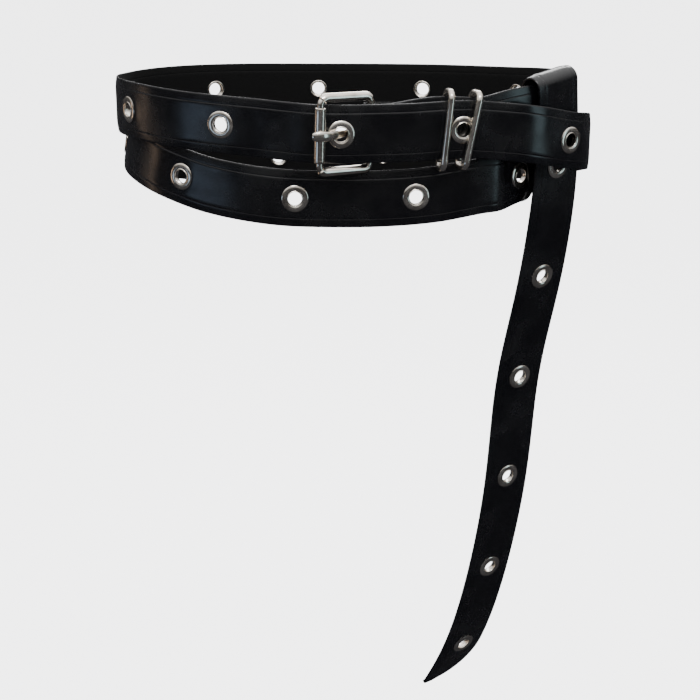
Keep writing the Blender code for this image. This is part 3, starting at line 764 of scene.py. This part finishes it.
# Distance at the strap's middle and slant of each cross row
def strapRows():
    rows = []

    def run(start, end, spacing):
        count = max(2, round((end - start) / spacing))
        rows.extend((start + (end - start) * i / count, 0.0) for i in range(count))

    heelStart = strapStart + buckle["flapLength"]
    heelEnd = heelStart + math.pi * (buckle["barDiameter"] / 2 + strap["gap"] + strap["thickness"] / 2)
    foldStart = foldMiddle - foldBefore
    foldEnd = afterFold[0][0]
    foldLength = math.pi * foldRadius * math.sqrt(2)
    run(strapStart, heelStart - slotReach, strapDetail["rowSpacing"])
    run(heelStart - slotReach, heelEnd + slotReach, strapDetail["bendSpacing"])
    run(heelEnd + slotReach, foldStart, strapDetail["rowSpacing"])
    fan = strapDetail["fanRows"]
    rows.extend((foldStart + foldBefore * i / fan, i / fan) for i in range(fan))
    turns = strapDetail["foldRows"]
    rows.extend((foldMiddle + foldLength * i / turns, 1.0) for i in range(turns))
    left = foldEnd - foldMiddle - foldLength
    rows.extend((foldMiddle + foldLength + left * i / fan, 1 - i / fan) for i in range(fan))
    run(foldEnd, bendStart, strapDetail["rowSpacing"])
    run(bendStart, bendEnd, strapDetail["bendSpacing"])
    run(bendEnd, pointStart, strapDetail["rowSpacing"])
    run(pointStart, strapEnd, strapDetail["pointSpacing"])
    rows.append((strapEnd, 0.0))
    return rows


# Width stations: place across from -1 to 1 zones of the section, with the share of thickness
def crossStations():
    half = strap["width"] / 2
    left = [(-half + inset, share) for inset, share in edgeSection]
    middle = [(-across, 1.0) for across in middleSection]
    whole = left + middle + [(0.0, 1.0)]
    return whole + [(-across, share) for across, share in reversed(whole[:-1])]


# A nominal place across the strap, moved into the swept point where the strap narrows
def acrossAt(distance, across):
    half, inset = strap["width"] / 2, strap["creaseInset"]
    nominal = (-half, -half + inset, half - inset, half)
    real = edgesAt(distance)
    for k in range(3):
        if across <= nominal[k + 1] or k == 2:
            share = (across - nominal[k]) / (nominal[k + 1] - nominal[k])
            return real[k] + (real[k + 1] - real[k]) * share


# The visible strap: one sheet of quads on the route, given its thickness by a modifier
def buildStrap(faceFinish, backFinish):
    seats = [(at, *strapFrame(at, patchHalf)) for at in eyeletDistances()]
    stations = crossStations()
    rows = strapRows()
    flat, shares = [], []
    for distance, slant in rows:
        for across, share in stations:
            moved = acrossAt(distance, across)
            flat.append([distance + slant * across, moved])
            shares.append(share)
    wide = len(stations)
    slotStart = strapStart + buckle["flapLength"] - slotReach
    heelLength = math.pi * (buckle["barDiameter"] / 2 + strap["gap"] + strap["thickness"] / 2)
    slotEnd = strapStart + buckle["flapLength"] + heelLength + slotReach
    kept, dropped = [], set()
    cut = strapDetail["holeRadius"]
    for i in range(len(rows) - 1):
        for j in range(wide - 1):
            loop = (i * wide + j, (i + 1) * wide + j, (i + 1) * wide + j + 1, i * wide + j + 1)
            distance = sum(flat[v][0] for v in loop) / 4
            across = sum(flat[v][1] for v in loop) / 4
            if slotStart < distance < slotEnd and abs(across) < slotHalfWidth:
                continue
            if any(math.hypot(distance - seat[0], across) < cut for seat in seats):
                dropped.update(loop)
                continue
            kept.append(loop)
    used = {v for loop in kept for v in loop}
    for v in dropped & used:  # the rim of each eyelet's hole is made round
        seat = min(seats, key=lambda s: abs(s[0] - flat[v][0]))
        reach = math.hypot(flat[v][0] - seat[0], flat[v][1])
        flat[v] = [seat[0] + (flat[v][0] - seat[0]) * cut / reach, flat[v][1] * cut / reach]
    points = []
    for distance, across in flat:
        point = strapPoint(distance, across, 0)
        seat = min(seats, key=lambda s: abs(s[0] - distance))
        reach = math.hypot(distance - seat[0], across)
        if reach < strapDetail["pressedUntil"]:
            at, centre, along, width, _ = seat
            blend = strapDetail["pressedUntil"] - strapDetail["pressedWithin"]
            t = (strapDetail["pressedUntil"] - reach) / blend
            t = min(max(t, 0.0), 1.0)
            pressed = centre + along * (distance - at) + width * across
            point = point.lerp(pressed, t * t * (3 - 2 * t))
        points.append(point)
    order = {v: k for k, v in enumerate(sorted(used))}
    piece = newPiece(
        "patentStrap",
        [points[v] for v in sorted(used)],
        [tuple(order[v] for v in loop) for loop in kept],
        faceFinish,
    )
    piece.data.materials.append(backFinish)
    flatMap = piece.data.uv_layers.new(name="strapMap")
    places = [flat[v] for v in sorted(used)]
    for corner in piece.data.loops:
        flatMap.data[corner.index].uv = places[corner.vertex_index]
    thick = piece.vertex_groups.new(name="thick")
    for k, v in enumerate(sorted(used)):
        thick.add([k], shares[v], "REPLACE")
    shell = piece.modifiers.new("wall", "SOLIDIFY")
    shell.thickness = strap["thickness"]
    shell.offset = 0
    shell.vertex_group = "thick"
    shell.use_rim = True
    shell.material_offset = 1
    settleModifiers(piece)
    piece.data.shade_smooth()
    piece.data.set_sharp_from_angle(angle=math.radians(strapDetail["sharpAngle"]))
    return piece


# One eyelet's section, turned about its own axis: barrel, domed flange, rolled lip, hole, and the
# rolled back of the washer
eyeletTurning = (
    # radius, height
    (0.00540, -0.00160),
    (0.00480, -0.00158),
    (0.00450, -0.00070),
    (0.00450, 0.00158),
    (0.00700, 0.00160),
    (0.00772, 0.00166),
    (0.00775, 0.00174),
    (0.00762, 0.00186),
    (0.00730, 0.00201),
    (0.00680, 0.00217),
    (0.00620, 0.00228),
    (0.00560, 0.00231),
    (0.00510, 0.00225),
    (0.00476, 0.00212),
    (0.00462, 0.00206),
    (0.00453, 0.00212),
    (0.00442, 0.00226),
    (0.00426, 0.00230),
    (0.00412, 0.00222),
    (0.00403, 0.00206),
    (0.00400, 0.00182),
    (0.00412, -0.00020),
    (0.00426, -0.00090),
    (0.00446, -0.00145),
    (0.00464, -0.00176),
    (0.00488, -0.00196),
    (0.00515, -0.00205),
    (0.00545, -0.00203),
    (0.00568, -0.00190),
    (0.00575, -0.00172),
)


# Tree that seats one shape on each point, turned as the point's own value says
def seatTree(name):
    tree = bpy.data.node_groups.new(name, "GeometryNodeTree")
    tree.interface.new_socket("Geometry", in_out="INPUT", socket_type="NodeSocketGeometry")
    sockets = {
        "shape": tree.interface.new_socket("shape", in_out="INPUT", socket_type="NodeSocketObject"),
        "size": tree.interface.new_socket("size", in_out="INPUT", socket_type="NodeSocketFloat"),
        "finish": tree.interface.new_socket("finish", in_out="INPUT", socket_type="NodeSocketMaterial"),
    }
    tree.interface.new_socket("Geometry", in_out="OUTPUT", socket_type="NodeSocketGeometry")
    add, join = tree.nodes.new, tree.links.new
    start, end = add("NodeGroupInput"), add("NodeGroupOutput")
    shape = add("GeometryNodeObjectInfo")
    turn = add("GeometryNodeInputNamedAttribute")
    turn.data_type = "FLOAT_VECTOR"
    turn.inputs["Name"].default_value = "turn"
    rotation = add("FunctionNodeEulerToRotation")
    seat = add("GeometryNodeInstanceOnPoints")
    real = add("GeometryNodeRealizeInstances")
    finish = add("GeometryNodeSetMaterial")
    join(start.outputs["Geometry"], seat.inputs["Points"])
    join(start.outputs["shape"], shape.inputs["Object"])
    join(shape.outputs["Geometry"], seat.inputs["Instance"])
    join(turn.outputs["Attribute"], rotation.inputs[0])
    join(rotation.outputs[0], seat.inputs["Rotation"])
    join(start.outputs["size"], seat.inputs["Scale"])
    join(seat.outputs["Instances"], real.inputs["Geometry"])
    join(real.outputs["Geometry"], finish.inputs["Geometry"])
    join(start.outputs["finish"], finish.inputs["Material"])
    join(finish.outputs["Geometry"], end.inputs["Geometry"])
    return tree, {word: socket.identifier for word, socket in sockets.items()}


# All eyelets, seated along the strap by the tree
def buildEyelets(finish):
    points, faces = turnedProfile(eyeletTurning, smoothness["eyelet"])
    master = newPiece("eyeletShape", points, faces, finish, sharp=50)
    seats = [strapFrame(at, patchHalf) for at in eyeletDistances()]
    piece = newPiece("eyeletRow", [seat[0] for seat in seats], [], None)
    turn = piece.data.attributes.new("turn", "FLOAT_VECTOR", "POINT")
    for k, (_, along, width, out) in enumerate(seats):
        turned = Matrix((along, width, out)).transposed()
        turn.data[k].vector = tuple(turned.to_euler("XYZ"))
    tree, sockets = seatTree("seatEyelets")
    rows = piece.modifiers.new("rows", "NODES")
    rows.node_group = tree
    rows[sockets["shape"]] = master
    rows[sockets["size"]] = 1.0
    rows[sockets["finish"]] = finish
    settleModifiers(piece)
    bpy.data.objects.remove(master)
    return piece


# One end of the roller: in from its outer radius, and in from its end
rollerEnd = (
    # radius, height
    (0.00055, 0.00000),
    (0.00018, 0.00014),
    (0.00000, 0.00050),
    (0.00000, 0.00130),
    (0.00016, 0.00142),
    (0.00016, 0.00160),
    (0.00000, 0.00172),
)
rollerPlay = 0.0001


# The sleeve on the frame's left bar, with a turned collar at each end
def buildRoller(finish):
    _, ahead, width, _, roller, _ = buckleBars()
    inner = buckle["barDiameter"] / 2 + rollerPlay
    outer = buckle["rollerDiameter"] / 2
    half = buckle["rollerLength"] / 2
    profile = [(inner, -half)]
    profile += [(outer - radius, -half + height) for radius, height in rollerEnd]
    profile.append((outer, 0.0))
    profile += [(radius, -height) for radius, height in reversed(profile[:-1])]
    points, faces = turnedProfile(profile, smoothness["roller"])
    side = width.cross(ahead).normalized()
    axes = (ahead, side, ahead.cross(side))
    placed = [roller + axes[0] * p[0] + axes[1] * p[1] + axes[2] * p[2] for p in points]
    return newPiece("rollerSleeve", placed, faces, finish, sharp=30)


# How handled nickel looks, and what differs between the eyelets and the buckle
handledLook = {
    "smooth": 0.09,
    "dull": 0.27,
    "worn": (0.56, 0.505, 0.435, 1),
    "bright": (0.84, 0.79, 0.72, 1),
    "wornBelow": 0.3,
    "brightAbove": 0.62,
    "scratchStretch": (1.0, 1.0, 0.12),
    "scratchTurn": (0.4, 0.7, 0.2),
    "scratchDepth": 0.0002,
}
nickelLooks = {
    "eyeletNickel": {"scratchScale": 1500.0, "smudgeScale": 160.0, "depth": 0.10},
    "buckleNickel": {"scratchScale": 900.0, "smudgeScale": 90.0, "depth": 0.14},
}


# Handled metal: smudges in its roughness and tint, fine long scratches in its normal
def wearGroup(look):
    group = bpy.data.node_groups.new("handledMetal", "ShaderNodeTree")
    for word in ("scratchScale", "smudgeScale", "depth"):
        group.interface.new_socket(word, in_out="INPUT", socket_type="NodeSocketFloat")
    group.interface.new_socket("roughness", in_out="OUTPUT", socket_type="NodeSocketFloat")
    group.interface.new_socket("tint", in_out="OUTPUT", socket_type="NodeSocketColor")
    group.interface.new_socket("normal", in_out="OUTPUT", socket_type="NodeSocketVector")
    add, join = group.nodes.new, group.links.new
    start, end = add("NodeGroupInput"), add("NodeGroupOutput")
    place = add("ShaderNodeTexCoord")
    stretch = add("ShaderNodeMapping")
    stretch.inputs["Scale"].default_value = look["scratchStretch"]
    stretch.inputs["Rotation"].default_value = look["scratchTurn"]
    scratch, smudge = add("ShaderNodeTexNoise"), add("ShaderNodeTexNoise")
    scratch.inputs["Detail"].default_value = 3.0
    smudge.inputs["Detail"].default_value = 4.0
    rough = add("ShaderNodeMapRange")
    rough.inputs["To Min"].default_value = look["smooth"]
    rough.inputs["To Max"].default_value = look["dull"]
    ramp = add("ShaderNodeValToRGB")
    ramp.color_ramp.elements[0].color = look["worn"]
    ramp.color_ramp.elements[0].position = look["wornBelow"]
    ramp.color_ramp.elements[1].color = look["bright"]
    ramp.color_ramp.elements[1].position = look["brightAbove"]
    bump = add("ShaderNodeBump")
    bump.inputs["Distance"].default_value = look["scratchDepth"]
    join(place.outputs["Object"], stretch.inputs["Vector"])
    join(stretch.outputs["Vector"], scratch.inputs["Vector"])
    join(start.outputs["scratchScale"], scratch.inputs["Scale"])
    join(place.outputs["Object"], smudge.inputs["Vector"])
    join(start.outputs["smudgeScale"], smudge.inputs["Scale"])
    join(smudge.outputs["Fac"], rough.inputs["Value"])
    join(smudge.outputs["Fac"], ramp.inputs["Fac"])
    join(scratch.outputs["Fac"], bump.inputs["Height"])
    join(start.outputs["depth"], bump.inputs["Strength"])
    join(rough.outputs["Result"], end.inputs["roughness"])
    join(ramp.outputs["Color"], end.inputs["tint"])
    join(bump.outputs["Normal"], end.inputs["normal"])
    return group


# Polished nickel plate with its own amount of handling
def nickelFinish(name, group, values):
    finish = bpy.data.materials.new(name)
    finish.use_nodes = True
    nodes, join = finish.node_tree.nodes, finish.node_tree.links.new
    shader = nodes["Principled BSDF"]
    worn = nodes.new("ShaderNodeGroup")
    worn.node_tree = group
    for word, value in values.items():
        worn.inputs[word].default_value = value
    shader.inputs["Metallic"].default_value = 1.0
    join(worn.outputs["tint"], shader.inputs["Base Color"])
    join(worn.outputs["roughness"], shader.inputs["Roughness"])
    join(worn.outputs["normal"], shader.inputs["Normal"])
    return finish


# Look of the strap's face
patentLook = {
    "deep": (0.0002, 0.0002, 0.0004, 1),
    "scuffed": (0.0009, 0.0010, 0.0015, 1),
    "smooth": 0.19,
    "dull": 0.36,
    "gloss": 0.50,
    "smudgeScale": 38.0,
    "dullFrom": 0.42,
    "dullTo": 0.74,
    "wavesScale": 45.0,
    "waviness": 0.16,
    "wavesDepth": 0.004,
    "scuffStretch": (260.0, 2600.0, 1.0),  # along and across the strap
    "scuffStrength": 0.06,
    "scuffDepth": 0.0003,
}


# Glossy patent: smudges and a slow waviness on Object coordinates, fine scuffs on the strap's own map
def patentFinish(look):
    finish = bpy.data.materials.new("blackPatent")
    finish.use_nodes = True
    nodes, join = finish.node_tree.nodes, finish.node_tree.links.new
    shader = nodes["Principled BSDF"]
    shader.inputs["Specular IOR Level"].default_value = look["gloss"]
    place = nodes.new("ShaderNodeTexCoord")
    smudge = nodes.new("ShaderNodeTexNoise")
    smudge.inputs["Scale"].default_value = look["smudgeScale"]
    smudge.inputs["Detail"].default_value = 5.0
    smudge.inputs["Roughness"].default_value = 0.62
    rough = nodes.new("ShaderNodeMapRange")
    rough.inputs["From Min"].default_value = look["dullFrom"]
    rough.inputs["From Max"].default_value = look["dullTo"]
    rough.inputs["To Min"].default_value = look["smooth"]
    rough.inputs["To Max"].default_value = look["dull"]
    tint = nodes.new("ShaderNodeMix")
    tint.data_type = "RGBA"
    tint.inputs["A"].default_value = look["deep"]
    tint.inputs["B"].default_value = look["scuffed"]
    slow = nodes.new("ShaderNodeTexNoise")
    slow.inputs["Scale"].default_value = look["wavesScale"]
    slow.inputs["Detail"].default_value = 1.0
    slowBump = nodes.new("ShaderNodeBump")
    slowBump.inputs["Strength"].default_value = look["waviness"]
    slowBump.inputs["Distance"].default_value = look["wavesDepth"]
    stretch = nodes.new("ShaderNodeMapping")
    stretch.inputs["Scale"].default_value = look["scuffStretch"]
    flat = nodes.new("ShaderNodeUVMap")
    flat.uv_map = "strapMap"
    scuff = nodes.new("ShaderNodeTexNoise")
    scuff.inputs["Scale"].default_value = 1.0
    scuff.inputs["Detail"].default_value = 2.0
    scuffBump = nodes.new("ShaderNodeBump")
    scuffBump.inputs["Strength"].default_value = look["scuffStrength"]
    scuffBump.inputs["Distance"].default_value = look["scuffDepth"]
    join(place.outputs["Object"], smudge.inputs["Vector"])
    join(place.outputs["Object"], slow.inputs["Vector"])
    join(flat.outputs["UV"], stretch.inputs["Vector"])
    join(stretch.outputs["Vector"], scuff.inputs["Vector"])
    join(smudge.outputs["Fac"], rough.inputs["Value"])
    join(smudge.outputs["Fac"], tint.inputs["Factor"])
    join(tint.outputs["Result"], shader.inputs["Base Color"])
    join(rough.outputs["Result"], shader.inputs["Roughness"])
    join(slow.outputs["Fac"], slowBump.inputs["Height"])
    join(scuff.outputs["Fac"], scuffBump.inputs["Height"])
    join(slowBump.outputs["Normal"], scuffBump.inputs["Normal"])
    join(scuffBump.outputs["Normal"], shader.inputs["Normal"])
    return finish


# Look of the strap's back
backingLook = {
    "roughness": 0.72,
    "gloss": 0.16,
    "napScale": 1400.0,
    "deep": (0.0001, 0.0001, 0.0001, 1),
    "nap": (0.0006, 0.0006, 0.0007, 1),
    "napStrength": 0.25,
    "napDepth": 0.0002,
}


# Dull napped backing of the strap
def backingFinish(look):
    finish = bpy.data.materials.new("blackBacking")
    finish.use_nodes = True
    nodes, join = finish.node_tree.nodes, finish.node_tree.links.new
    shader = nodes["Principled BSDF"]
    shader.inputs["Roughness"].default_value = look["roughness"]
    shader.inputs["Specular IOR Level"].default_value = look["gloss"]
    place = nodes.new("ShaderNodeTexCoord")
    nap = nodes.new("ShaderNodeTexNoise")
    nap.inputs["Scale"].default_value = look["napScale"]
    nap.inputs["Detail"].default_value = 3.0
    tint = nodes.new("ShaderNodeMix")
    tint.data_type = "RGBA"
    tint.inputs["A"].default_value = look["deep"]
    tint.inputs["B"].default_value = look["nap"]
    bump = nodes.new("ShaderNodeBump")
    bump.inputs["Strength"].default_value = look["napStrength"]
    bump.inputs["Distance"].default_value = look["napDepth"]
    join(place.outputs["Object"], nap.inputs["Vector"])
    join(nap.outputs["Fac"], tint.inputs["Factor"])
    join(nap.outputs["Fac"], bump.inputs["Height"])
    join(tint.outputs["Result"], shader.inputs["Base Color"])
    join(bump.outputs["Normal"], shader.inputs["Normal"])
    return finish


# Camera, floor and lights
studio = {
    "cameraAt": (0.009, -0.949, 0.140),
    "cameraDown": 17.4,
    "lens": 78.7,
    "sensor": 36.0,
    "floorHeight": -0.62,
    "floorSize": 60.0,
    "floorColor": (0.86, 0.86, 0.87, 1),
    "floorRoughness": 0.9,
    "skyColor": (1.0, 1.0, 1.0, 1),
    "skyStrength": 5.0,
    "mirroredSky": 0.04,  # what gloss sees, a dark room between the lights
    "mirroredCeiling": 2.4,
    "ceilingFrom": 0.15,
    "mirroredFloor": (0.010, 0.010, 0.011, 1.0),
}
softLights = (
    # name, place, aim, width, height, power, color
    ("leftWindow", (-1.15, -0.95, -0.22), (-0.09, -0.07, -0.01), 0.50, 0.30, 0.6, (0.55, 0.74, 1.0)),
    ("rightWindow", (1.30, -0.75, 0.05), (0.12, -0.05, -0.05), 0.34, 0.80, 1.6, (0.66, 0.92, 1.0)),
    ("farLeft", (-1.60, 0.10, -0.20), (-0.13, 0.0, -0.01), 0.16, 0.70, 0.7, (1.0, 0.72, 0.52)),
    ("overFront", (0.05, -0.90, 1.25), (0.02, -0.08, -0.02), 0.90, 0.20, 12.0, (1.0, 1.0, 1.0)),
    ("lowFront", (0.10, -1.10, -0.95), (0.02, -0.08, -0.02), 0.80, 0.05, 2.0, (1.0, 0.98, 0.95)),
    ("fromBehind", (0.10, 1.30, 0.90), (0.0, 0.0, 0.0), 1.20, 0.50, 14.0, (1.0, 1.0, 1.0)),
)


# Camera at the photograph's angle
def placeCamera():
    data = bpy.data.cameras.new("view")
    data.lens = studio["lens"]
    data.sensor_width = studio["sensor"]
    camera = bpy.data.objects.new("view", data)
    camera.location = studio["cameraAt"]
    camera.rotation_euler = (math.radians(90 - studio["cameraDown"]), 0, 0)
    bpy.context.scene.collection.objects.link(camera)
    bpy.context.scene.camera = camera


# Pale floor, which gloss sees darker than the camera does
def placeFloor():
    finish = bpy.data.materials.new("paleFloor")
    finish.use_nodes = True
    nodes, join = finish.node_tree.nodes, finish.node_tree.links.new
    shader = nodes["Principled BSDF"]
    shader.inputs["Base Color"].default_value = studio["floorColor"]
    shader.inputs["Roughness"].default_value = studio["floorRoughness"]
    mirrored = nodes.new("ShaderNodeBsdfDiffuse")
    mirrored.inputs["Color"].default_value = studio["mirroredFloor"]
    ray = nodes.new("ShaderNodeLightPath")
    pick = nodes.new("ShaderNodeMixShader")
    join(ray.outputs["Is Glossy Ray"], pick.inputs[0])
    join(shader.outputs["BSDF"], pick.inputs[1])
    join(mirrored.outputs["BSDF"], pick.inputs[2])
    join(pick.outputs["Shader"], nodes["Material Output"].inputs["Surface"])
    half, height = studio["floorSize"] / 2, studio["floorHeight"]
    corners = [(-half, -half, height), (half, -half, height), (half, half, height), (-half, half, height)]
    floor = newPiece("floor", corners, [(0, 1, 2, 3)], finish)


# Soft sky, which gloss sees as a dark room with a pale ceiling
def placeSky():
    sky = bpy.data.worlds.new("softSky")
    sky.use_nodes = True
    nodes, join = sky.node_tree.nodes, sky.node_tree.links.new
    backdrop = nodes["Background"]
    backdrop.inputs["Color"].default_value = studio["skyColor"]
    ray = nodes.new("ShaderNodeLightPath")
    where = nodes.new("ShaderNodeTexCoord")
    height = nodes.new("ShaderNodeSeparateXYZ")
    mirrored = nodes.new("ShaderNodeMapRange")
    mirrored.inputs["From Min"].default_value = studio["ceilingFrom"]
    mirrored.inputs["To Min"].default_value = studio["mirroredSky"]
    mirrored.inputs["To Max"].default_value = studio["mirroredCeiling"]
    level = nodes.new("ShaderNodeMapRange")
    level.inputs["To Min"].default_value = studio["skyStrength"]
    join(where.outputs["Generated"], height.inputs["Vector"])
    join(height.outputs["Z"], mirrored.inputs["Value"])
    join(mirrored.outputs["Result"], level.inputs["To Max"])
    join(ray.outputs["Is Glossy Ray"], level.inputs["Value"])
    join(level.outputs["Result"], backdrop.inputs["Strength"])
    bpy.context.scene.world = sky


# Soft area lights, each aimed at a place on the belt
def placeLights():
    for name, at, aim, wide, high, power, color in softLights:
        data = bpy.data.lights.new(name, "AREA")
        data.shape = "RECTANGLE"
        data.size = wide
        data.size_y = high
        data.energy = power
        data.color = color
        light = bpy.data.objects.new(name, data)
        light.location = at
        light.rotation_euler = (Vector(aim) - Vector(at)).to_track_quat("-Z", "Y").to_euler()
        bpy.context.scene.collection.objects.link(light)


placeCamera()
placeFloor()
placeSky()
placeLights()
print("camera and studio placed")

handled = wearGroup(handledLook)
patent = patentFinish(patentLook)
backing = backingFinish(backingLook)
eyeletNickel = nickelFinish("eyeletNickel", handled, nickelLooks["eyeletNickel"])
buckleNickel = nickelFinish("buckleNickel", handled, nickelLooks["buckleNickel"])
print("finishes made")

strapPiece = buildStrap(patent, backing)
print("strap made, %d faces" % len(strapPiece.data.polygons))
eyeletPiece = buildEyelets(eyeletNickel)
print("eyelets seated")
framePiece = buildBuckleFrame(buckleNickel)
rollerPiece = buildRoller(buckleNickel)
pinPiece = buildBuckleProng(buckleNickel)
keeperPieces = buildKeepers(buckleNickel)
print("buckle and keepers made")

eyeletNodes = [f"eyelet_{number:02d}" for number in range(1, len(eyeletDistances()) + 1)]
worn = [
    (strapPiece, "strap_gloss", ["strap"]),
    (eyeletPiece, "nickel", eyeletNodes),
    (framePiece, "nickel", ["buckle_frame"]),
    (rollerPiece, "nickel", ["buckle_roller"]),
    (pinPiece, "nickel", ["buckle_prong"]),
]
worn += [(piece, "nickel", [node]) for node, piece in keeperPieces.items()]
for piece, slot, nodes in worn:
    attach(piece, "root")
    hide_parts(*nodes)
print("pieces ride on the root")
